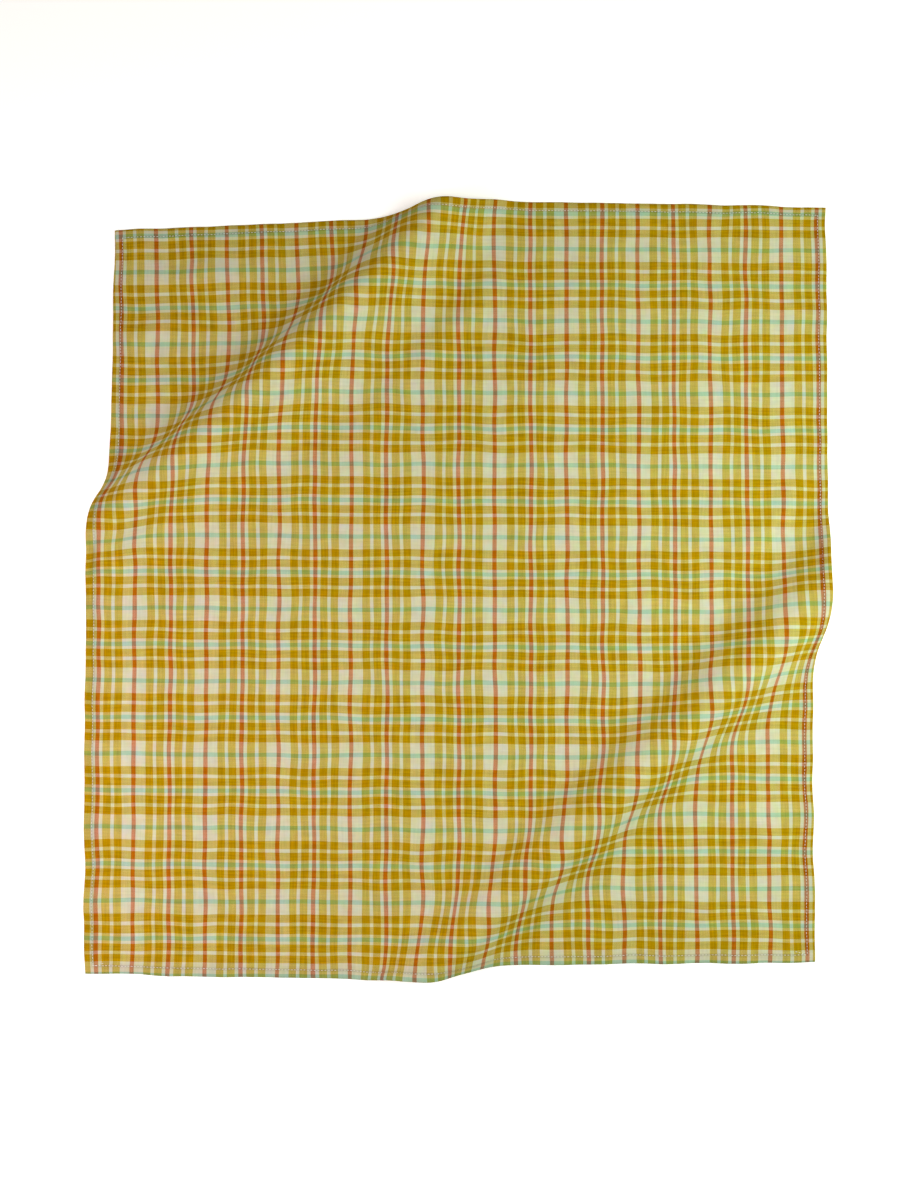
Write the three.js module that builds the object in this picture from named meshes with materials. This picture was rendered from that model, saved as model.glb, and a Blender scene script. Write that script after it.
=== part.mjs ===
// A square cotton bandana laid face up on a flat surface. Its upper left and lower right corners
// are pushed in towards the middle, and each has raised a soft diagonal fold that runs from hem
// to hem. The cloth is one solid: a thin sheet whose narrow border is the hem, folded double.
//
// Millimetres, +Z up. X runs across the cloth, Y runs from the bottom hem to the top hem, and the
// flat middle of the cloth rests on Z = 0. Names that end in Deg are angles in degrees.

import * as THREE from 'three';

const CLOTH_THICK = 1.2;
const HEM_WIDE = 6;
const HEM_THICK = 2;
const HEM_STEP = 1;
const SKEW = 0.008;

// Where the hems run in the weave. Left and right are measured across from the first red stripe,
// from the top of the cloth to the bottom. Top and bottom are measured down the cloth, from left
// to right. The hems are sewn slightly off the grain, so the middle isn't in line with the ends.
const HEMS = {
  left: { start: -4.5, middle: -9.5, end: -8 },
  right: { start: 539, middle: 538.5, end: 538 },
  top: { start: 0, middle: -3.5, end: -0.5 },
  bottom: { start: 569.5, middle: 571.5, end: 569.5 },
};

// The two folds. Both lie square to the cloth's diagonal, and towardsMiddle says which side of the
// crest the middle of the cloth is on. The pushed-in corner has slid along the fold by slip and
// is turned by turn.
//
// Each section is a cut across the fold, at a distance along it from the diagonal. The crest is
// that far from the first corner of the weave. The gentle side rises from the middle of the cloth
// over gentleRun, and the steep side drops to the corner. Both are measured along the cloth, and
// each slope is the steepest on its side, at a share of the way from the crest to the foot that
// gentlePeak and steepPeak give.
const FOLDS = [
  // The upper left fold.
  {
    towardsMiddle: 1,
    gentlePeak: 0.35,
    steepPeak: 0.45,
    slip: 2,
    turn: 0.015,
    sections: [
      { along: -180, crest: 178, gentleRun: 50, gentleDeg: 42, steepDeg: 46 },
      { along: 0, crest: 176, gentleRun: 65, gentleDeg: 46, steepDeg: 58 },
      { along: 180, crest: 164, gentleRun: 50, gentleDeg: 55, steepDeg: 52 },
    ],
  },
  // The lower right fold.
  {
    towardsMiddle: -1,
    gentlePeak: 0.45,
    steepPeak: 0.4,
    slip: 0,
    turn: -0.008,
    sections: [
      { along: -180, crest: 588, gentleRun: 60, gentleDeg: 42, steepDeg: 45 },
      { along: 0, crest: 585, gentleRun: 55, gentleDeg: 47, steepDeg: 46 },
      { along: 180, crest: 580, gentleRun: 50, gentleDeg: 47, steepDeg: 46 },
    ],
  },
];
const FOLD_REACH = 225;
const SLIP_RUN = 45;
const SLOPE_STEPS = 60;

// The mesh is made of lines of points parallel to the folds. They are close together over the
// folds and far apart where the cloth is flat. Widths are measured across plus down the cloth.
const LINE_BANDS = [
  { from: 0, to: 154, step: 38, spacing: 28 },
  { from: 154, to: 364, step: 7, spacing: 17 },
  { from: 364, to: 742, step: 38, spacing: 30 },
  { from: 742, to: 924, step: 7, spacing: 17 },
  { from: 924, to: 1120, step: 39, spacing: 28 },
];
const LINE_GAP = 4;
const FLAT_WIDE = 547;
const FLAT_TALL = 572;
const HEM_POINTS = [0, HEM_WIDE, HEM_WIDE + HEM_STEP];

const MATERIAL = new THREE.MeshStandardMaterial({ name: 'cloth', color: 0xc2ab56, roughness: 0.95 });

const radians = (degrees) => (degrees * Math.PI) / 180;
const clamp = (value, low, high) => Math.min(Math.max(value, low), high);

// The smooth curve through a start, a middle and an end value, at 0, 0.5 and 1.
function curve3({ start, middle, end }, t) {
  return start * (1 - t) * (1 - 2 * t) + middle * 4 * t * (1 - t) + end * t * (2 * t - 1);
}

// A point of the flat cloth, from its fractions of the width and the height.
function flatPoint(acrossShare, downShare) {
  const left = curve3(HEMS.left, downShare);
  const right = curve3(HEMS.right, downShare);
  const top = curve3(HEMS.top, acrossShare);
  const bottom = curve3(HEMS.bottom, acrossShare);
  return {
    across: left + (right - left) * acrossShare,
    down: top + (bottom - top) * downShare,
  };
}

// How much one side of a fold rises and shortens between a distance from the crest and its foot.
// Its slope eases from level to the steepest, which it has at its peak, and back to level.
function climb(from, run, { steepest, peak }) {
  const skewed = Math.log(0.5) / Math.log(peak);
  const step = (run - from) / SLOPE_STEPS;
  let rise = 0;
  let shortening = 0;
  for (let i = 0; i < SLOPE_STEPS; i += 1) {
    const share = clamp((from + (i + 0.5) * step) / run, 0, 1);
    const slope = steepest * Math.sin(Math.PI * share ** skewed);
    rise += Math.sin(slope) * step;
    shortening += (1 - Math.cos(slope)) * step;
  }
  return { rise, shortening };
}

// The cut across a fold at a place along it, from the smooth curve through its three sections.
function sectionAt(fold, along) {
  const place = clamp(along, -FOLD_REACH, FOLD_REACH);
  const [first, second, third] = fold.sections;
  const t = (place - first.along) / (third.along - first.along);
  const read = (key) => curve3({ start: first[key], middle: second[key], end: third[key] }, t);
  const gentle = { steepest: radians(read('gentleDeg')), peak: fold.gentlePeak };
  const steep = { steepest: radians(read('steepDeg')), peak: fold.steepPeak };
  const gentleRun = read('gentleRun');
  const steepRun = climb(0, gentleRun, gentle).rise / climb(0, 1, steep).rise;
  return { crest: read('crest'), gentle, gentleRun, steep, steepRun };
}

// How a fold moves a point of the flat cloth: sideways, down the cloth and up off the surface.
function foldMove(fold, across, down) {
  const along = (down - across) * Math.SQRT1_2;
  const { crest, gentle, gentleRun, steep, steepRun } = sectionAt(fold, along);
  const ahead = ((across + down) * Math.SQRT1_2 - crest) * fold.towardsMiddle;
  if (ahead >= gentleRun) {
    return { across: 0, down: 0, up: 0 };
  }
  const gentleSide = climb(Math.max(ahead, 0), gentleRun, gentle);
  let push = gentleSide.shortening;
  let up = gentleSide.rise;
  let slide = 0;
  if (ahead < 0) {
    const whole = climb(0, steepRun, steep);
    const rest = climb(Math.min(-ahead, steepRun), steepRun, steep);
    push += whole.shortening - rest.shortening;
    up = rest.rise;
    const started = clamp(-ahead / SLIP_RUN, 0, 1);
    slide = fold.slip * started * started * (3 - 2 * started);
    slide -= fold.turn * Math.min(ahead + SLIP_RUN, 0);
  }
  const pushed = push * fold.towardsMiddle;
  return {
    across: (pushed - slide) * Math.SQRT1_2,
    down: (pushed + slide) * Math.SQRT1_2,
    up,
  };
}

// The underside of the laid cloth at a point of the flat cloth.
function laidPoint({ across, down }) {
  const place = { across, down, up: 0 };
  for (const fold of FOLDS) {
    const move = foldMove(fold, across, down);
    place.across += move.across;
    place.down += move.down;
    place.up += move.up;
  }
  return new THREE.Vector3(place.across, -(place.down + SKEW * place.across), place.up);
}

// The cloth is double in the hem and single inside it.
function thicknessAt(fromEdge) {
  const inside = clamp((fromEdge - HEM_WIDE) / HEM_STEP, 0, 1);
  return HEM_THICK + (CLOTH_THICK - HEM_THICK) * inside;
}

// The sums of across and down at which the lines of points run, corners and hems included.
function lineSums() {
  const corners = [0, FLAT_WIDE, FLAT_TALL, FLAT_WIDE + FLAT_TALL];
  const hems = [HEM_WIDE, HEM_WIDE + HEM_STEP].map((wide) => 2 * wide);
  const sums = [...corners];
  hems.forEach((sum) => sums.push(sum, FLAT_WIDE + FLAT_TALL - sum));
  for (const band of LINE_BANDS) {
    const count = Math.round((band.to - band.from) / band.step);
    for (let i = 0; i < count; i += 1) {
      const sum = band.from + ((band.to - band.from) * i) / count;
      if (sums.every((other) => Math.abs(other - sum) > LINE_GAP)) {
        sums.push(sum);
      }
    }
  }
  return sums.sort((a, b) => a - b);
}

// The places across the cloth of the points on one line, with the two edges of each hem.
function linePlaces(sum) {
  const low = Math.max(0, sum - FLAT_TALL);
  const high = Math.min(FLAT_WIDE, sum);
  const middle = (low + high) / 2;
  const insets = HEM_POINTS.filter((inset) => low + inset < middle);
  if (insets.length === 0) {
    return [middle];
  }
  const leftEnd = insets.map((inset) => low + inset);
  const rightEnd = insets.map((inset) => high - inset).reverse();
  const from = leftEnd[leftEnd.length - 1];
  const to = rightEnd[0];
  const band = LINE_BANDS.find(({ to: end }) => sum <= end);
  const gaps = Math.max(Math.round(((to - from) * Math.SQRT2) / band.spacing), 2);
  const inner = [];
  for (let i = 1; i < gaps; i += 1) {
    inner.push(from + ((to - from) * i) / gaps);
  }
  return [...leftEnd, ...inner, ...rightEnd];
}

function makeLines() {
  const points = [];
  const lines = lineSums().map((sum) =>
    linePlaces(sum).map((across) => {
      const down = sum - across;
      const fromEdge = Math.min(across, FLAT_WIDE - across, down, FLAT_TALL - down);
      const flat = flatPoint(across / FLAT_WIDE, down / FLAT_TALL);
      points.push({ under: laidPoint(flat), thick: thicknessAt(Math.max(fromEdge, 0)), across });
      return points.length - 1;
    }),
  );
  return { points, lines };
}

// Triangles between two neighbouring lines, wound to face up. Where both lines cross the hems,
// those points are joined in pairs so that the hem's edges stay unbroken.
function stripTriangles(points, before, after) {
  const triangles = [];
  const paired = Math.min(before.length, after.length) > 2 * HEM_POINTS.length;
  let i = 0;
  let j = 0;
  const stepBefore = () => {
    triangles.push([before[i], after[j], before[i + 1]]);
    i += 1;
  };
  const stepAfter = () => {
    triangles.push([before[i], after[j], after[j + 1]]);
    j += 1;
  };
  const stepBoth = () => {
    stepBefore();
    stepAfter();
  };
  const reach = (line, k) => {
    const first = points[line[0]].across;
    const whole = points[line[line.length - 1]].across - first;
    return whole > 0 ? (points[line[k]].across - first) / whole : 0;
  };
  const tail = paired ? HEM_POINTS.length - 1 : 0;
  while (i < tail) {
    stepBoth();
  }
  while (i < before.length - 1 - tail || j < after.length - 1 - tail) {
    const afterDone = j >= after.length - 1 - tail;
    const beforeDone = i >= before.length - 1 - tail;
    if (afterDone || (!beforeDone && reach(before, i + 1) <= reach(after, j + 1))) {
      stepBefore();
    } else {
      stepAfter();
    }
  }
  while (i < before.length - 1) {
    stepBoth();
  }
  return triangles;
}

// Edges that belong to one triangle only, in that triangle's direction.
function openEdges(triangles) {
  const edges = new Map();
  for (const [a, b, c] of triangles) {
    for (const [from, to] of [[a, b], [b, c], [c, a]]) {
      if (!edges.delete(`${to},${from}`)) {
        edges.set(`${from},${to}`, [from, to]);
      }
    }
  }
  return [...edges.values()];
}

function makeClothGeometry() {
  const { points, lines } = makeLines();
  const upper = [];
  for (let i = 1; i < lines.length; i += 1) {
    upper.push(...stripTriangles(points, lines[i - 1], lines[i]));
  }

  const normals = points.map(() => new THREE.Vector3());
  for (const [a, b, c] of upper) {
    const ab = points[b].under.clone().sub(points[a].under);
    const ac = points[c].under.clone().sub(points[a].under);
    const facing = ab.cross(ac);
    [a, b, c].forEach((index) => normals[index].add(facing));
  }

  const positions = [];
  points.forEach(({ under }) => positions.push(under.x, under.y, under.z));
  points.forEach(({ under, thick }, index) => {
    const top = normals[index].normalize().multiplyScalar(thick).add(under);
    positions.push(top.x, top.y, top.z);
  });

  const count = points.length;
  const indices = [];
  for (const [a, b, c] of upper) {
    indices.push(a + count, b + count, c + count, a, c, b);
  }
  for (const [from, to] of openEdges(upper)) {
    indices.push(from, to, to + count, from, to + count, from + count);
  }

  const geometry = new THREE.BufferGeometry();
  geometry.setAttribute('position', new THREE.Float32BufferAttribute(positions, 3));
  geometry.setIndex(indices);
  geometry.computeBoundingBox();
  const box = geometry.boundingBox;
  geometry.translate(-(box.min.x + box.max.x) / 2, -(box.min.y + box.max.y) / 2, 0);
  geometry.computeVertexNormals();
  return geometry;
}

const part = new THREE.Group();
part.name = 'bandana';
const cloth = new THREE.Mesh(makeClothGeometry(), MATERIAL);
cloth.name = 'cloth';
part.add(cloth);

export default part;
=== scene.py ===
"""A square cotton bandana in a woven check, laid out face up with two of its corners pushed in.

Run as a script it builds the cloth, its hem stitches, a pale floor, soft studio lights and a
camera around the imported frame. The tables below are in millimetres and degrees, measured in the
flat cloth: across it from the first red stripe, and down it from its top edge.
"""

import math
import random

import bmesh
import bpy
from mathutils import Matrix, Vector, noise


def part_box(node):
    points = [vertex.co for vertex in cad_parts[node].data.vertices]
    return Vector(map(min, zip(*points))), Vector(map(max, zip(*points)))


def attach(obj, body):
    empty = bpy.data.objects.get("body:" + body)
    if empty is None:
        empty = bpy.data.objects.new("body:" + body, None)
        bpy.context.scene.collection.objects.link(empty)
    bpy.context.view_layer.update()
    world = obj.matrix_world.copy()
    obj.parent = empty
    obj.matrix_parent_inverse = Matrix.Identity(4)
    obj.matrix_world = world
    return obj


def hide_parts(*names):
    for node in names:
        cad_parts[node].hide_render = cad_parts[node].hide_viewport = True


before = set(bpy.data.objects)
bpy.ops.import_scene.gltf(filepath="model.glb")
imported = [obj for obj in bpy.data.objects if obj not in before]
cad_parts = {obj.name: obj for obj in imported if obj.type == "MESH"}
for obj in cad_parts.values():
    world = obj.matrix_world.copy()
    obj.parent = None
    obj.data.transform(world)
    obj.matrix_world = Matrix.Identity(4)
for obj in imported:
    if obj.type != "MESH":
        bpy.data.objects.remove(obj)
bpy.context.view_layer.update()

bl_info = {
    "name": "Laid Bandana",
    "version": (1, 0, 0),
    "blender": (4, 5, 0),
    "location": "3D View > Sidebar > Bandana",
    "description": "Builds a woven check bandana laid out with two folded corners",
    "category": "Add Mesh",
}

CLOTH_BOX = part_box("cloth")
MM = 0.001

# ---------------------------------------------------------------------------------------------
# The lie of the cloth. These are the same sizes as the solid's, in millimetres and degrees.

SKEW = 0.008

HEMS = {
    "left": {"start": -4.5, "middle": -9.5, "end": -8},
    "right": {"start": 539, "middle": 538.5, "end": 538},
    "top": {"start": 0, "middle": -3.5, "end": -0.5},
    "bottom": {"start": 569.5, "middle": 571.5, "end": 569.5},
}

# Each side runs from one corner to the next, as shares of the width and the height.
SIDES = {
    "top": ((0, 0), (1, 0)),
    "right": ((1, 0), (1, 1)),
    "bottom": ((0, 1), (1, 1)),
    "left": ((0, 0), (0, 1)),
}

# Both folds lie square to the cloth's diagonal. Each section cuts across one, along from the
# diagonal and with its crest that far from the first corner of the weave: the gentle side rises
# from the middle of the cloth, and the steep side drops to the pushed-in corner. A side is
# steepest at its peak, a share of the way from the crest to the foot. The corner has slid along
# the fold by slip, and is turned by turn.
FOLDS = (
    # The upper left fold.
    {
        "towards_middle": 1, "gentle_peak": 0.35, "steep_peak": 0.45, "slip": 2, "turn": 0.015,
        "sections": (
            {"along": -180, "crest": 178, "gentle_run": 50, "gentle": 42, "steep": 46},
            {"along": 0, "crest": 176, "gentle_run": 65, "gentle": 46, "steep": 58},
            {"along": 180, "crest": 164, "gentle_run": 50, "gentle": 55, "steep": 52},
        ),
    },
    # The lower right fold.
    {
        "towards_middle": -1, "gentle_peak": 0.45, "steep_peak": 0.4, "slip": 0, "turn": -0.008,
        "sections": (
            {"along": -180, "crest": 588, "gentle_run": 60, "gentle": 42, "steep": 45},
            {"along": 0, "crest": 585, "gentle_run": 55, "gentle": 47, "steep": 46},
            {"along": 180, "crest": 580, "gentle_run": 50, "gentle": 47, "steep": 46},
        ),
    },
)

# Beyond this reach a fold keeps its last section. The slip eases in over its run from the crest.
FOLD_REACH = 225
SLIP_RUN = 45
SLOPE_STEPS = 24

# ---------------------------------------------------------------------------------------------
# The finer forms, which the solid leaves out, in millimetres.

# The main creases, as soft ridges from one place in the flat cloth to another. A ridge bends
# sideways by bend in its middle and is wide across each flank. It fades out at both ends, over
# one part in this many of its length.
CREASE_ENDS = 3
CREASES = (
    {"start": (300, 38), "end": (220, 135), "bend": -6, "wide": 11, "high": 3.0},
    {"start": (225, 128), "end": (190, 210), "bend": 5, "wide": 10, "high": 1.4},
    {"start": (447, 70), "end": (446, 205), "bend": 2, "wide": 7, "high": 1.1},
    {"start": (450, 280), "end": (538, 155), "bend": 10, "wide": 8, "high": 1.3},
    {"start": (420, 20), "end": (405, 100), "bend": 3, "wide": 9, "high": 1.0},
    {"start": (490, 422), "end": (536, 440), "bend": 2, "wide": 6, "high": 1.4},
    {"start": (455, 440), "end": (520, 500), "bend": -6, "wide": 9, "high": 1.5},
    {"start": (10, 36), "end": (110, 28), "bend": 3, "wide": 9, "high": 1.4},
    {"start": (-4, 84), "end": (75, 66), "bend": -4, "wide": 9, "high": 1.6},
    {"start": (-4, 116), "end": (55, 112), "bend": 3, "wide": 8, "high": 1.3},
    {"start": (96, 330), "end": (60, 480), "bend": 8, "wide": 12, "high": 1.2},
    {"start": (190, 400), "end": (250, 520), "bend": -8, "wide": 13, "high": 1.2},
    {"start": (-8, 235), "end": (40, 262), "bend": 4, "wide": 8, "high": 1.6},
)

# The short rows of stitches that tie off the seam, from one place in the flat cloth to another.
BACK_TACKS = (
    {"start": (-6, 563), "end": (6, 561.5), "bend": 1.2, "stitches": 5},
    {"start": (523, 561), "end": (532, 565), "bend": -0.6, "stitches": 4},
)

# Cloth laid by hand swells off the surface in places, and its yarns and hems wander sideways. With
# a bias of 0 the swell would lift half of the cloth. Each noise is read at a level of its own.
SWELL_LONG = 55
SWELL_HIGH = 1.6
SWELL_BIAS = 0.2
WANDER_LONG = 28
WANDER_WIDE = 1.1
NOISE_LEVELS = {"swell": 2, "across": 7, "down": 12, "ripple": 4, "fine_ripple": 9}

# The hem: how much thinner its edge is and over what width, the dip of the seam, and the width of
# the step from the hem's layers to one layer. The losses and the dip are shares of its thickness.
EDGE_LOSS = 0.45
EDGE_WIDE = 1
SEAM_DIP = 0.4
SEAM_WIDE = 0.7
LAYER_STEP = 1.4

# The ripples that the stitching draws into the hem. They are highest on a line inside the edge,
# and fade away to both sides of it. The thread below also lifts the seam off the surface.
RIPPLE_LONG = 9
FINE_RIPPLE_LONG = 4.5
FINE_RIPPLE_SHARE = 0.6
RIPPLE_BIAS = 0.3
RIPPLE_LINE = 5
RIPPLE_WIDE = 7
THREAD_ROOM = 0.16
THREAD_ROOM_WIDE = 1.5

# Grid lines in the hem: from the edge inwards, and around the hem's inner edge.
EDGE_LINES = (0, 0.4, 1, 2.4, 4, 5.2)
INNER_LINES = (-0.6, 0, 0.7, 1.6)

# The painted shade on the hem, where its layers let less light through than one layer and the
# needle holes of the seam lie in shadow. Its layers count as 1, which fades over this width
# inside them, and the line of the seam adds this much.
HEM_FADE = 6
SEAM_PAINTED_SHADE = 4

# How high a stitch stands, as a share of its thread's thickness, how far it is off the line of
# the seam, and how far each of its ends is off the stitch.
STITCH_HIGH = 0.9
STITCH_SHAKE = 0.12
END_SHAKE = 0.05
SHAKE_SEED = 11

# ---------------------------------------------------------------------------------------------
# The check. Its stripes are in yarns, and a repeat is 144 of them both ways. Single yarns are too
# fine to count on it, so this takes the 27 a centimetre that are usual for light cotton. The
# repeats' lengths and the place of the first mint stripe are in millimetres.

WARP_STRIPES = (
    ("red", 8), ("cream", 7), ("mustard", 15), ("cream", 7), ("mustard", 15), ("cream", 20),
    ("red", 8), ("cream", 20), ("mustard", 15), ("cream", 7), ("mustard", 15), ("cream", 7),
)
WEFT_STRIPES = (
    ("mint", 8), ("cream", 6), ("mustard", 15), ("cream", 7), ("mustard", 15), ("cream", 21),
    ("mint", 8), ("cream", 21), ("mustard", 15), ("cream", 7), ("mustard", 15), ("cream", 6),
)
FIRST_MINT_DOWN = 4.8
REPEAT_ACROSS = 53.2
REPEAT_DOWN = 53.8

# Yarns too fine to be seen apart are mixed in this gamma, as the eye sees them mixed.
DISPLAY_GAMMA = 2.4

# The dyes took unevenly, in clouds of this length. The spread is for red, green and blue.
DYE_CLOUD = 9
DYE_SPREAD = (0.1, 0.1, 0.26)

# How far the streaks' noise moves on from one yarn to the next, across a streak and along it.
STREAK_ACROSS = 0.3
STREAK_ALONG = 0.015

# ---------------------------------------------------------------------------------------------
# The studio. The softbox and the floor are in metres, the camera's place and the floor's drop in
# millimetres, and the rest in degrees. The walls end and the ceiling starts above the horizon.

SOFTBOX_SIZE = 0.45
FLOOR_REACH = 60
FLOOR_DROP = 0.05
WALL_TOP = 10
CEILING_EDGE = 16
CAMERA_TURN = (1.55, 0.32, 0)
CAMERA_PLACE = (-0.8, -32.2)


def linear(hex_colour):
    """An sRGB hex colour as the linear values that the shader sockets take."""
    values = [int(hex_colour[i:i + 2], 16) / 255 for i in (1, 3, 5)]
    return [v / 12.92 if v <= 0.04045 else ((v + 0.055) / 1.055) ** 2.4 for v in values]


def colour_property(name, hex_colour, description):
    return bpy.props.FloatVectorProperty(
        name=name, description=description, default=linear(hex_colour),
        subtype="COLOR", min=0, max=1,
    )


def length_property(name, millimetres, description):
    return bpy.props.FloatProperty(
        name=name, description=description, default=millimetres * MM,
        unit="LENGTH", subtype="DISTANCE", min=0, precision=5,
    )


class BandanaCloth(bpy.types.PropertyGroup):
    """Sizes of the cloth and its hem."""

    thick: length_property("Thickness", 0.35, "Thickness of one layer of the cotton")
    hem_thick: length_property("Hem thickness", 0.9, "Thickness of the hem's three layers")
    hem_wide: length_property("Hem width", 6.6, "Width of the turned hem")
    seam: length_property("Seam", 6, "Distance from the edge to the line of stitches")
    pucker: length_property("Pucker", 0.5, "Height of the puckers that the stitching draws in")
    across_lines: bpy.props.IntProperty(
        name="Lines across", description="Grid faces from side to side", default=206, min=40)
    down_lines: bpy.props.IntProperty(
        name="Lines down", description="Grid faces from top to bottom", default=214, min=40)


class BandanaWeave(bpy.types.PropertyGroup):
    """Colours of the yarns and how they cross."""

    mustard: colour_property("Mustard", "#B08800", "Mustard yarn")
    cream: colour_property("Cream", "#D4D2B0", "Cream yarn")
    red: colour_property("Rust red", "#B14014", "Rust red warp yarn")
    mint: colour_property("Mint", "#7DBCA2", "Mint weft yarn")
    warp_share: bpy.props.FloatProperty(
        name="Warp share", description="How much of the face is warp yarn", default=0.52,
        min=0, max=1, subtype="FACTOR")
    over_under: bpy.props.FloatProperty(
        name="Over and under", description="How far each crossing shows the yarn on top",
        default=0.28, min=0, max=0.5)
    slub: bpy.props.FloatProperty(
        name="Slub", description="Unevenness of the yarns' colour", default=0.24, min=0, max=1)
    hem_shade: bpy.props.FloatProperty(
        name="Hem shade", description="How much less light comes through the hem's layers",
        default=0.035, min=0, max=1, subtype="FACTOR")


class BandanaStitches(bpy.types.PropertyGroup):
    """Sizes of the hem stitches."""

    pitch: length_property("Pitch", 2.4, "Distance from one stitch to the next")
    long: length_property("Length", 1.8, "Length of thread that shows in one stitch")
    thread: length_property("Thread", 0.45, "Thickness of the sewing thread")
    colour: colour_property("Thread colour", "#F6F2EA", "Off-white polyester sewing thread")
    shade: colour_property("Thread shade", "#A0958B", "Colour between the thread's strands")


class BandanaStudio(bpy.types.PropertyGroup):
    """The floor, the lights and the camera."""

    floor: colour_property("Floor", "#F4F3F1", "Matt white paper")
    glow: bpy.props.FloatProperty(
        name="Glow", description="Light that comes up through the floor", default=0.5, min=0)
    key_power: bpy.props.FloatProperty(
        name="Key power", description="Power of the softbox on the right", default=4.2,
        unit="POWER")
    key: colour_property("Key", "#EEFCF2", "Daylight colour of the softbox on the right")
    side_power: bpy.props.FloatProperty(
        name="Side power", description="Power of the softbox on the left", default=2.7,
        unit="POWER")
    side: colour_property("Side", "#FFEBFD", "Sky colour of the softbox on the left")
    fill: bpy.props.FloatProperty(
        name="Fill", description="Brightness of the warm ceiling", default=0.24, min=0)
    room: colour_property("Room", "#FFF9DC", "Warm colour of the ceiling")
    horizon: bpy.props.FloatProperty(
        name="Horizon", description="Brightness of the pale walls near the floor",
        default=0.6, min=0)
    wall: colour_property("Walls", "#FFFBEC", "Colour of the pale walls")
    height: length_property("Camera height", 840, "Height of the camera above the floor")
    lens: bpy.props.FloatProperty(
        name="Lens", description="Focal length on a 36 mm frame", default=34.17,
        unit="CAMERA")


# ---------------------------------------------------------------------------------------------
# Working out where a point of the flat cloth lies.

def clamp(value, low, high):
    return min(max(value, low), high)


def ease(share):
    """A smooth step from 0 to 1."""
    t = clamp(share, 0, 1)
    return t * t * (3 - 2 * t)


def bow(t):
    """0 at both ends and 1 in the middle."""
    return 4 * t * (1 - t)


def bell(distance, wide):
    """1 at no distance, falling to nothing a few widths away."""
    return math.exp(-((distance / wide) ** 2))


def noise_at(across, down, length, use):
    """Smooth noise from -1 to 1, with swells of about that length."""
    return noise.noise(Vector((across / length, down / length, NOISE_LEVELS[use])))


def curve3(start, middle, end, t):
    """The smooth curve through three values, at 0, 0.5 and 1."""
    return start * (1 - t) * (1 - 2 * t) + middle * bow(t) + end * t * (2 * t - 1)


def flat_point(across_share, down_share):
    """A point of the flat cloth, from its fractions of the width and the height."""
    left = curve3(*HEMS["left"].values(), down_share)
    right = curve3(*HEMS["right"].values(), down_share)
    top = curve3(*HEMS["top"].values(), across_share)
    bottom = curve3(*HEMS["bottom"].values(), across_share)
    return left + (right - left) * across_share, top + (bottom - top) * down_share


def flat_size():
    """The mean width and height of the flat cloth, in millimetres."""
    shares = (0, 0.25, 0.5, 0.75, 1)
    wide = sum(flat_point(1, s)[0] - flat_point(0, s)[0] for s in shares) / len(shares)
    tall = sum(flat_point(s, 1)[1] - flat_point(s, 0)[1] for s in shares) / len(shares)
    return wide, tall


def seam_point(side, inset, share):
    """A place on the line that runs an inset inside a side, a share of the way along it."""
    start, end = SIDES[side]
    shares = []
    for axis, length in enumerate(flat_size()):
        along = start[axis] + (end[axis] - start[axis]) * share
        shares.append(clamp(along, inset / length, 1 - inset / length))
    return flat_point(*shares)


def climb(start, run, steepest, peak):
    """The rise and the shortening of one side of a fold, from start to its foot at run.

    Its slope eases from level to its steepest, which it has at its peak, and back to level.
    """
    skewed = math.log(0.5) / math.log(peak)
    step = (run - start) / SLOPE_STEPS
    rise = shortening = 0
    for i in range(SLOPE_STEPS):
        share = clamp((start + (i + 0.5) * step) / run, 0, 1)
        slope = steepest * math.sin(math.pi * share ** skewed)
        rise += math.sin(slope) * step
        shortening += (1 - math.cos(slope)) * step
    return rise, shortening


def section_at(fold, along):
    """The cut across a fold at a place along it: its crest, and each side's run and shape."""
    first, second, third = fold["sections"]
    place = clamp(along, -FOLD_REACH, FOLD_REACH)
    t = (place - first["along"]) / (third["along"] - first["along"])
    read = {key: curve3(first[key], second[key], third[key], t) for key in first}
    gentle = math.radians(read["gentle"]), fold["gentle_peak"]
    steep = math.radians(read["steep"]), fold["steep_peak"]
    steep_run = climb(0, read["gentle_run"], *gentle)[0] / climb(0, 1, *steep)[0]
    return read["crest"], (read["gentle_run"], *gentle), (steep_run, *steep)


def fold_move(fold, across, down):
    """How a fold moves a point: sideways, down the cloth and up off the surface."""
    crest, gentle, steep = section_at(fold, (down - across) * math.sqrt(0.5))
    ahead = ((across + down) * math.sqrt(0.5) - crest) * fold["towards_middle"]
    if ahead >= gentle[0]:
        return 0, 0, 0
    up, push = climb(max(ahead, 0), *gentle)
    slide = 0
    if ahead < 0:
        whole = climb(0, *steep)
        rest = climb(min(-ahead, steep[0]), *steep)
        push += whole[1] - rest[1]
        up = rest[0]
        slide = fold["slip"] * ease(-ahead / SLIP_RUN) - fold["turn"] * min(ahead + SLIP_RUN, 0)
    push *= fold["towards_middle"]
    return (push - slide) * math.sqrt(0.5), (push + slide) * math.sqrt(0.5), up


def crease_lift(across, down):
    """How far the swell and the creases lift a point of the cloth."""
    swell = noise_at(across, down, SWELL_LONG, "swell")
    lift = max(swell + SWELL_BIAS, 0) * SWELL_HIGH
    for crease in CREASES:
        run = [crease["end"][i] - crease["start"][i] for i in (0, 1)]
        length = math.hypot(*run)
        from_start = across - crease["start"][0], down - crease["start"][1]
        t = (from_start[0] * run[0] + from_start[1] * run[1]) / length ** 2
        if not 0 < t < 1:
            continue
        aside = (from_start[1] * run[0] - from_start[0] * run[1]) / length
        aside -= crease["bend"] * bow(t)
        fade = ease(t * CREASE_ENDS) * ease((1 - t) * CREASE_ENDS)
        lift += crease["high"] * fade * bell(aside, crease["wide"])
    return lift


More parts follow.
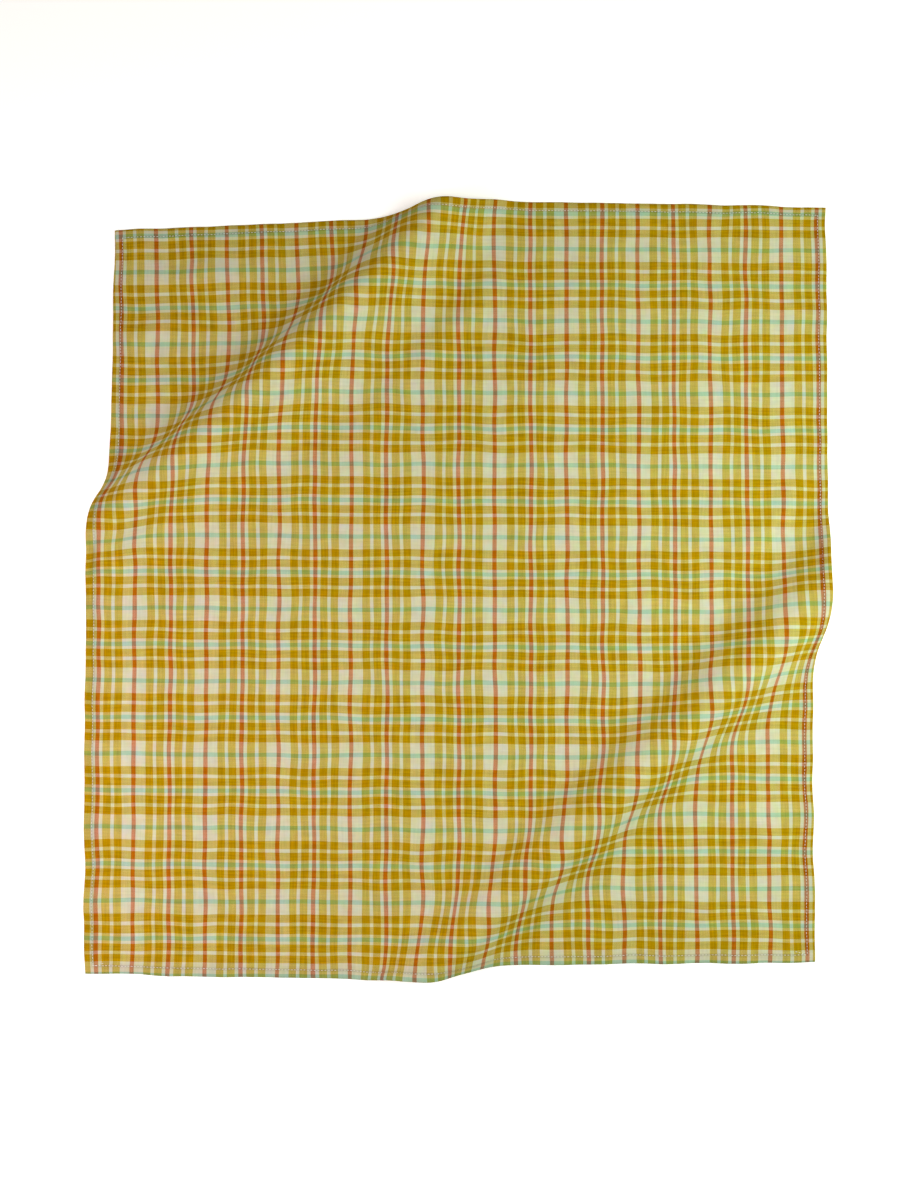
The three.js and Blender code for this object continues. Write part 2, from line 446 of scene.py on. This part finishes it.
def laid_point(across, down):
    """Where the underside of the laid cloth is at a point of the flat cloth."""
    x, y, z = across, down, crease_lift(across, down)
    for fold in FOLDS:
        move = fold_move(fold, across, down)
        x, y, z = x + move[0], y + move[1], z + move[2]
    x += noise_at(across, down, WANDER_LONG, "across") * WANDER_WIDE
    y += noise_at(across, down, WANDER_LONG, "down") * WANDER_WIDE
    return Vector((x, -(y + SKEW * x), z))


def laid_centre():
    """The middle of the laid cloth's outline, seen from above."""
    steps = 120
    rim = [laid_point(*seam_point(side, 0, i / steps)) for side in SIDES for i in range(steps)]
    return [(min(p[i] for p in rim) + max(p[i] for p in rim)) / 2 for i in (0, 1)]


def into_place(bm):
    """Moves a mesh made in the cloth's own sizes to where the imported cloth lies."""
    box = (CLOTH_BOX[0] + CLOTH_BOX[1]) / 2
    centre = laid_centre()
    shift = (box[0] - centre[0] * MM, box[1] - centre[1] * MM, 0)
    bmesh.ops.translate(bm, verts=bm.verts, vec=shift)


# ---------------------------------------------------------------------------------------------
# Meshes and materials.

def new_piece(name, bm, material):
    """A finished mesh object at the origin, made from a bmesh that this frees."""
    mesh = bpy.data.meshes.new(name)
    bm.to_mesh(mesh)
    bm.free()
    mesh.shade_smooth()
    mesh.materials.append(material)
    piece = bpy.data.objects.new(name, mesh)
    bpy.context.scene.collection.objects.link(piece)
    return piece


def new_material(name):
    """A material of that name with no nodes yet."""
    material = bpy.data.materials.new(name)
    material.use_nodes = True
    material.node_tree.nodes.clear()
    return material


def add_node(tree, kind, inputs=None, **settings):
    """Adds a node. inputs maps a socket's name or number to a value, or to the socket it reads."""
    node = tree.nodes.new(kind)
    for key, value in settings.items():
        setattr(node, key, value)
    for key, value in (inputs or {}).items():
        if isinstance(value, bpy.types.NodeSocket):
            tree.links.new(value, node.inputs[key])
        else:
            node.inputs[key].default_value = value
    return node


def maths(tree, operation, first, second=0.0):
    """Adds a node that works out one sum, and gives its result."""
    inputs = {0: first, 1: second}
    return add_node(tree, "ShaderNodeMath", inputs, operation=operation).outputs[0]


def stripe_colours(tree, yarn_number, stripes, colours):
    """The colour of the yarn with that number, in the display's gamma so that crossings mix."""
    repeat = sum(count for _, count in stripes)
    first_half = stripes[0][1] / 2
    place = maths(tree, "ADD", yarn_number, first_half)
    place = maths(tree, "FRACT", maths(tree, "DIVIDE", place, repeat))
    ramp = add_node(tree, "ShaderNodeValToRGB", {0: place})
    ramp.color_ramp.interpolation = "CONSTANT"
    elements = ramp.color_ramp.elements
    elements.remove(elements[1])
    done = 0
    for name, count in stripes:
        stop = elements[0] if done == 0 else elements.new(done / repeat)
        stop.color = (*colours[name], 1)
        done += count
    gamma = {0: ramp.outputs[0], 1: 1 / DISPLAY_GAMMA}
    return add_node(tree, "ShaderNodeGamma", gamma).outputs[0]


def make_cotton(weave):
    """Yarn-dyed cotton in a plain weave, brushed by washing and never glossy.

    It gives the eye flat matt colour, paler where cream yarns cross the dyed ones, with a fine
    grain of single yarns and faint streaks where a yarn is thicker or took more dye.
    """
    material = new_material("yarn_dyed_plain_weave_cotton")
    tree = material.node_tree
    colours = {name: list(getattr(weave, name)) for name in ("mustard", "cream", "red", "mint")}
    yarns = sum(count for _, count in WARP_STRIPES)

    flat_place = add_node(tree, "ShaderNodeUVMap", uv_map="weave").outputs[0]
    place = add_node(tree, "ShaderNodeSeparateXYZ", {0: flat_place})
    warp_number = maths(tree, "MULTIPLY", place.outputs["X"], yarns / (REPEAT_ACROSS * MM))
    weft_down = maths(tree, "SUBTRACT", place.outputs["Y"], FIRST_MINT_DOWN * MM)
    weft_number = maths(tree, "MULTIPLY", weft_down, yarns / (REPEAT_DOWN * MM))
    warp = stripe_colours(tree, warp_number, WARP_STRIPES, colours)
    weft = stripe_colours(tree, weft_number, WEFT_STRIPES, colours)

    # Above zero the warp yarn is on top, below zero the weft yarn is.
    waves = [
        maths(tree, "SINE", maths(tree, "MULTIPLY", number, math.pi))
        for number in (warp_number, weft_number)
    ]
    weave_wave = maths(tree, "MULTIPLY", *waves)
    warp_top = maths(tree, "MULTIPLY", weave_wave, weave.over_under)
    warp_top = maths(tree, "ADD", warp_top, weave.warp_share)
    crossing = add_node(
        tree, "ShaderNodeMix", {0: warp_top, 6: weft, 7: warp}, data_type="RGBA",
    ).outputs[2]

    # Streaks run a few centimetres along the yarns. A single yarn is too fine to show, so they
    # are drawn about three yarns wide.
    streaks = []
    for wide, long in ((warp_number, weft_number), (weft_number, warp_number)):
        vector = add_node(
            tree, "ShaderNodeCombineXYZ",
            {
                0: maths(tree, "MULTIPLY", wide, STREAK_ACROSS),
                1: maths(tree, "MULTIPLY", long, STREAK_ALONG),
            },
        ).outputs[0]
        streaks.append(add_node(
            tree, "ShaderNodeTexNoise", {"Vector": vector, "Scale": 1.0, "Detail": 2.0},
            noise_dimensions="2D",
        ).outputs[0])
    streak = maths(tree, "SUBTRACT", maths(tree, "ADD", *streaks), 1.0)
    # Yarns with more dye in them, so with less blue left, vary more than the undyed ones.
    blue = add_node(tree, "ShaderNodeSeparateColor", {0: crossing}).outputs["Blue"]
    streak = maths(tree, "MULTIPLY", streak, maths(tree, "SUBTRACT", 1.0, blue))
    streak = maths(tree, "ADD", maths(tree, "MULTIPLY", streak, weave.slub), 1.0)
    # Painted shade: the hem attribute darkens the hem, whose layers pass less light, and the seam,
    # whose needle holes lie in shadow.
    hem = add_node(tree, "ShaderNodeAttribute", attribute_name="hem").outputs["Fac"]
    hem = maths(tree, "SUBTRACT", 1.0, maths(tree, "MULTIPLY", hem, weave.hem_shade))
    shaded = add_node(
        tree, "ShaderNodeVectorMath", {0: crossing, "Scale": maths(tree, "MULTIPLY", streak, hem)},
        operation="SCALE",
    ).outputs[0]
    clouds = add_node(
        tree, "ShaderNodeTexNoise",
        {"Vector": flat_place, "Scale": 1 / (DYE_CLOUD * MM), "Detail": 3.0},
        noise_dimensions="2D",
    ).outputs["Color"]
    evenness = [1 - spread / 2 for spread in DYE_SPREAD]
    tint = add_node(
        tree, "ShaderNodeVectorMath", {0: clouds, 1: DYE_SPREAD, 2: evenness},
        operation="MULTIPLY_ADD",
    ).outputs[0]
    dyed = add_node(
        tree, "ShaderNodeVectorMath", {0: shaded, 1: tint}, operation="MULTIPLY",
    ).outputs[0]
    face = add_node(tree, "ShaderNodeGamma", {0: dyed, 1: DISPLAY_GAMMA}).outputs[0]

    # Each yarn is a rounded knuckle about 0.06 mm high where it comes to the top.
    knuckles = maths(tree, "ABSOLUTE", weave_wave)
    bump = add_node(
        tree, "ShaderNodeBump", {"Strength": 0.5, "Distance": 0.06 * MM, "Height": knuckles},
    ).outputs[0]
    shader = add_node(tree, "ShaderNodeBsdfPrincipled", {
        "Base Color": face, "Roughness": 0.92, "IOR": 1.53, "Specular IOR Level": 0.02,
        "Sheen Weight": 0.01, "Sheen Roughness": 0.5, "Normal": bump,
    })
    add_node(tree, "ShaderNodeOutputMaterial", {0: shader.outputs[0]})
    return material


def make_thread(stitches):
    """Spun polyester sewing thread: off-white and a little brighter than the cotton.

    Its twist shows as faint painted shade between its strands, every 0.4 mm.
    """
    material = new_material("spun_polyester_sewing_thread")
    tree = material.node_tree
    place = add_node(tree, "ShaderNodeTexCoord").outputs["Object"]
    twist = add_node(
        tree, "ShaderNodeTexNoise", {"Vector": place, "Scale": 1 / (0.4 * MM), "Detail": 2.0},
    ).outputs[0]
    # The mix towards the thread's shade colour is painted shade in the grooves between the
    # strands.
    colour = add_node(tree, "ShaderNodeMix", {
        0: maths(tree, "MULTIPLY", twist, 0.3),
        6: (*stitches.colour, 1), 7: (*stitches.shade, 1),
    }, data_type="RGBA").outputs[2]
    shader = add_node(tree, "ShaderNodeBsdfPrincipled", {
        "Base Color": colour, "Roughness": 0.6, "IOR": 1.53, "Specular IOR Level": 0.35,
    })
    add_node(tree, "ShaderNodeOutputMaterial", {0: shader.outputs[0]})
    return material


def make_paper(studio):
    """Matt white background paper, pressed smooth: pale, even and without gloss.

    Its grain is 1.5 mm long and 0.05 mm high, too low to show from above.
    """
    material = new_material("matt_white_background_paper")
    tree = material.node_tree
    place = add_node(tree, "ShaderNodeTexCoord").outputs["Object"]
    grain = add_node(
        tree, "ShaderNodeTexNoise", {"Vector": place, "Scale": 1 / (1.5 * MM), "Detail": 3.0},
    ).outputs[0]
    bump = add_node(
        tree, "ShaderNodeBump", {"Strength": 0.1, "Distance": 0.05 * MM, "Height": grain},
    ).outputs[0]
    shader = add_node(tree, "ShaderNodeBsdfPrincipled", {
        "Base Color": (*studio.floor, 1), "Roughness": 0.95, "Specular IOR Level": 0.1,
        "Normal": bump, "Emission Color": (1, 1, 1, 1), "Emission Strength": studio.glow,
    })
    add_node(tree, "ShaderNodeOutputMaterial", {0: shader.outputs[0]})
    return material


# ---------------------------------------------------------------------------------------------
# The cloth.

def line_places(lines, length, hem_wide):
    """Where the grid's lines cross the cloth: close together in the hem and even inside it."""
    hem = [*EDGE_LINES, *(hem_wide + place for place in INNER_LINES)]
    count = lines - 2 * len(hem) + 2
    start, end = hem[-1], length - hem[-1]
    inner = [start + (end - start) * i / count for i in range(1, count)]
    return hem + inner + [length - place for place in reversed(hem)]


def cloth_grid(bm, cloth):
    """The flat grid's vertices, each with its place in the flat cloth and its hem distance."""
    across_count, down_count = cloth.across_lines, cloth.down_lines
    bmesh.ops.create_grid(
        bm, x_segments=across_count, y_segments=down_count, size=0.5, calc_uvs=False)
    wide, tall = flat_size()
    hem_wide = cloth.hem_wide / MM
    across_places = line_places(across_count, wide, hem_wide)
    down_places = line_places(down_count, tall, hem_wide)
    placed = []
    for vertex in bm.verts:
        across = across_places[round((vertex.co.x + 0.5) * across_count)]
        down = down_places[round((0.5 - vertex.co.y) * down_count)]
        from_edge = min(across, wide - across, down, tall - down)
        flat = flat_point(across / wide, down / tall)
        placed.append((vertex, flat, from_edge))
    return placed


def hem_profile(from_edge, cloth):
    """How thick the cloth is, as a share of the hem: rounded at the edge, dipped at the seam."""
    single = cloth.thick / cloth.hem_thick
    rounded = 1 - EDGE_LOSS * (1 - ease(from_edge / EDGE_WIDE))
    seam = SEAM_DIP * bell(from_edge - cloth.seam / MM, SEAM_WIDE)
    inside = ease((from_edge - cloth.hem_wide / MM) / LAYER_STEP)
    return (rounded - seam) * (1 - inside) + single * inside


def hem_painted_shade(from_edge, cloth):
    """Painted shade on the hem: 1 over its layers, which pass less light, and more on the seam.

    The needle holes are too small to model, so their shadow is painted along the seam's line.
    """
    layers = 1 - ease((from_edge - cloth.hem_wide / MM) / HEM_FADE)
    holes = bell(from_edge - cloth.seam / MM, SEAM_WIDE)
    return layers + SEAM_PAINTED_SHADE * holes


def pucker_at(across, down, from_edge, cloth):
    """How far the stitching and the thread below it lift the hem, in millimetres."""
    ripple = noise_at(across, down, RIPPLE_LONG, "ripple")
    ripple += FINE_RIPPLE_SHARE * noise_at(across, down, FINE_RIPPLE_LONG, "fine_ripple")
    fade = bell(from_edge - RIPPLE_LINE, RIPPLE_WIDE)
    thread = THREAD_ROOM * bell(from_edge - cloth.seam / MM, THREAD_ROOM_WIDE)
    return max(ripple + RIPPLE_BIAS, 0) * fade * cloth.pucker / MM + thread


def make_cloth(cloth, weave):
    """The laid cloth: its grid is the underside, and the layers of cotton are raised on it."""
    bm = bmesh.new()
    uv_layer = bm.loops.layers.uv.new("weave")
    # The hem layer carries painted shade: the hem's layers pass less light, and its needle holes
    # lie in shadow.
    painted_shade_layer = bm.verts.layers.float.new("hem")
    weights = bm.verts.layers.deform.new()
    for vertex, flat, from_edge in cloth_grid(bm, cloth):
        for loop in vertex.link_loops:
            loop[uv_layer].uv = [place * MM for place in flat]
        vertex[painted_shade_layer] = hem_painted_shade(from_edge, cloth)
        vertex[weights][0] = hem_profile(from_edge, cloth)
        vertex.co = laid_point(*flat) * MM
        vertex.co.z += pucker_at(*flat, from_edge, cloth) * MM
    into_place(bm)

    piece = new_piece("check_cloth", bm, make_cotton(weave))
    piece.vertex_groups.new(name="layers")
    shell = piece.modifiers.new("layers of cotton", "SOLIDIFY")
    shell.thickness = cloth.hem_thick
    shell.offset = 1
    shell.vertex_group = "layers"
    shell.use_even_offset = False
    return piece


# ---------------------------------------------------------------------------------------------
# The stitches.

def add_stitch(bm, pattern, start, end, cloth, stitches, below):
    """Adds a copy of the pattern stitch between two places in the flat cloth."""
    seam = cloth.seam / MM
    ends = [laid_point(*place) for place in (start, end)]
    middle = (ends[0] + ends[1]) / 2
    middle.z += pucker_at((start[0] + end[0]) / 2, (start[1] + end[1]) / 2, seam, cloth)
    along = (ends[1] - ends[0]).normalized()
    sideways = Vector((0, 0, 1)).cross(along).normalized()
    outward = along.cross(sideways)
    if not below:
        middle += outward * hem_profile(seam, cloth) * cloth.hem_thick / MM
    half_long, half_thick = stitches.long / 2, stitches.thread / 2
    half_high = half_thick * STITCH_HIGH
    columns = (along * half_long, sideways * half_thick, outward * half_high, middle * MM)
    shape = Matrix.Identity(4)
    for number, column in enumerate(columns):
        shape.col[number][:3] = column
    stitch = pattern.copy()
    stitch.transform(shape)
    bm.from_mesh(stitch)
    bpy.data.meshes.remove(stitch)


def make_pattern_stitch():
    """A stitch of unit size, round in section and pointed where it enters the cloth."""
    bm = bmesh.new()
    bmesh.ops.create_uvsphere(
        bm, u_segments=6, v_segments=4, radius=1, matrix=Matrix.Rotation(math.pi / 2, 4, "Y"))
    pattern = bpy.data.meshes.new("pattern stitch")
    bm.to_mesh(pattern)
    bm.free()
    return pattern


def make_stitches(cloth, stitches):
    """Both faces of the lockstitch round the hem, and the rows that tie it off."""
    bm = bmesh.new()
    pattern = make_pattern_stitch()
    shake = random.Random(SHAKE_SEED)
    seam, pitch = cloth.seam / MM, stitches.pitch / MM
    gap = (1 - stitches.long / stitches.pitch) / 2
    for side in SIDES:
        length = flat_size()[side in ("left", "right")]
        first, last = round(seam / pitch), round((length - seam) / pitch)
        for number in range(first, last):
            inset = seam + shake.uniform(-STITCH_SHAKE, STITCH_SHAKE)
            places = []
            for share in (gap, 1 - gap):
                end_inset = inset + shake.uniform(-END_SHAKE, END_SHAKE)
                places.append(seam_point(side, end_inset, (number + share) * pitch / length))
            add_stitch(bm, pattern, *places, cloth, stitches, below=False)
            add_stitch(bm, pattern, *places, cloth, stitches, below=True)
    for row in BACK_TACKS:
        for number in range(row["stitches"]):
            places = []
            for share in (number + gap, number + 1 - gap):
                t = share / row["stitches"]
                across = row["start"][0] + (row["end"][0] - row["start"][0]) * t
                down = row["start"][1] + (row["end"][1] - row["start"][1]) * t
                down += row["bend"] * bow(t)
                places.append((across, down))
            add_stitch(bm, pattern, *places, cloth, stitches, below=False)
    bpy.data.meshes.remove(pattern)
    into_place(bm)
    return new_piece("hem_stitches", bm, make_thread(stitches))


# ---------------------------------------------------------------------------------------------
# The studio.

def make_floor(studio):
    """A plain floor, a hair below the cloth so that the two never share a surface."""
    bm = bmesh.new()
    bmesh.ops.create_grid(bm, x_segments=1, y_segments=1, size=FLOOR_REACH)
    bmesh.ops.translate(bm, verts=bm.verts, vec=(0, 0, -FLOOR_DROP * MM))
    floor = new_piece("paper_floor", bm, make_paper(studio))
    return floor


def add_soft_light(name, turn, height, distance, power, colour):
    """A round softbox aimed at the cloth, placed by its turn and height in degrees from there."""
    turn, height = math.radians(turn), math.radians(height)
    level = math.cos(height)
    away = Vector((level * math.cos(turn), level * math.sin(turn), math.sin(height)))
    data = bpy.data.lights.new(name, "AREA")
    data.shape = "DISK"
    data.size = SOFTBOX_SIZE
    data.energy = power
    data.color = colour
    light = bpy.data.objects.new(name, data)
    light.location = away * distance
    light.rotation_mode = "QUATERNION"
    light.rotation_quaternion = away.to_track_quat("Z", "Y")
    light.visible_camera = False
    bpy.context.scene.collection.objects.link(light)
    return light


def make_room(studio):
    """A warm ceiling that fades into pale walls, between two heights above the horizon."""
    world = bpy.data.worlds.new("warm_room")
    world.use_nodes = True
    tree = world.node_tree
    tree.nodes.clear()
    way = add_node(tree, "ShaderNodeTexCoord").outputs["Generated"]
    climb_share = add_node(tree, "ShaderNodeMapRange", {
        "Value": add_node(tree, "ShaderNodeSeparateXYZ", {0: way}).outputs["Z"],
        "From Min": math.sin(math.radians(WALL_TOP)),
        "From Max": math.sin(math.radians(CEILING_EDGE)),
    }).outputs[0]
    walls = [part * studio.horizon for part in studio.wall]
    ceiling = [part * studio.fill for part in studio.room]
    colour = add_node(
        tree, "ShaderNodeMix", {0: climb_share, 6: (*walls, 1), 7: (*ceiling, 1)},
        data_type="RGBA",
    ).outputs[2]
    background = add_node(tree, "ShaderNodeBackground", {0: colour})
    add_node(tree, "ShaderNodeOutputWorld", {0: background.outputs[0]})
    bpy.context.scene.world = world


def make_studio(studio):
    """The floor, the room around it, two softboxes and the camera above."""
    make_floor(studio)
    make_room(studio)
    add_soft_light("right_softbox", turn=0, height=45, distance=0.75,
                   power=studio.key_power, colour=studio.key)
    add_soft_light("left_softbox", turn=200, height=38, distance=0.7,
                   power=studio.side_power, colour=studio.side)

    data = bpy.data.cameras.new("overhead_camera")
    data.lens = studio.lens
    camera = bpy.data.objects.new("overhead_camera", data)
    camera.rotation_mode = "YXZ"
    camera.rotation_euler = [math.radians(turned) for turned in CAMERA_TURN]
    camera.location = (CAMERA_PLACE[0] * MM, CAMERA_PLACE[1] * MM, studio.height)
    bpy.context.scene.collection.objects.link(camera)
    bpy.context.scene.camera = camera
    bpy.context.scene.view_settings.view_transform = "Standard"


class BANDANA_OT_cloth(bpy.types.Operator):
    """Lays out the woven check cloth with its hem and its two folds"""

    bl_idname = "bandana.cloth"
    bl_label = "Lay the cloth"

    def execute(self, context):
        scene = context.scene
        piece = make_cloth(scene.bandana_cloth, scene.bandana_weave)
        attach(piece, "root")
        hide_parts("cloth")
        return {"FINISHED"}


class BANDANA_OT_stitches(bpy.types.Operator):
    """Sews the lockstitch round the hem and ties it off at two corners"""

    bl_idname = "bandana.stitches"
    bl_label = "Sew the hem"

    def execute(self, context):
        scene = context.scene
        piece = make_stitches(scene.bandana_cloth, scene.bandana_stitches)
        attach(piece, "root")
        return {"FINISHED"}


class BANDANA_OT_studio(bpy.types.Operator):
    """Adds the pale floor, the soft lights and the overhead camera"""

    bl_idname = "bandana.studio"
    bl_label = "Set up the studio"

    def execute(self, context):
        make_studio(context.scene.bandana_studio)
        return {"FINISHED"}


class BANDANA_PT_maker(bpy.types.Panel):
    """Lists the bandana's steps and the sizes that they use"""

    bl_idname = "BANDANA_PT_maker"
    bl_label = "Laid Bandana"
    bl_space_type = "VIEW_3D"
    bl_region_type = "UI"
    bl_category = "Bandana"

    def draw(self, context):
        for operator in OPERATORS:
            self.layout.operator(operator.bl_idname)
        for name, group in SETTINGS.items():
            box = self.layout.box()
            for key in group.__annotations__:
                box.prop(getattr(context.scene, name), key)


SETTINGS = {
    "bandana_cloth": BandanaCloth,
    "bandana_weave": BandanaWeave,
    "bandana_stitches": BandanaStitches,
    "bandana_studio": BandanaStudio,
}
OPERATORS = (BANDANA_OT_cloth, BANDANA_OT_stitches, BANDANA_OT_studio)


def register():
    for name, group in SETTINGS.items():
        bpy.utils.register_class(group)
        setattr(bpy.types.Scene, name, bpy.props.PointerProperty(type=group))
    for cls in (*OPERATORS, BANDANA_PT_maker):
        bpy.utils.register_class(cls)


def unregister():
    for cls in (BANDANA_PT_maker, *reversed(OPERATORS)):
        bpy.utils.unregister_class(cls)
    for name, group in reversed(SETTINGS.items()):
        delattr(bpy.types.Scene, name)
        bpy.utils.unregister_class(group)


def main():
    """Builds every piece."""
    register()
    bpy.ops.bandana.cloth()
    bpy.ops.bandana.stitches()
    bpy.ops.bandana.studio()


if __name__ == "__main__":
    main()
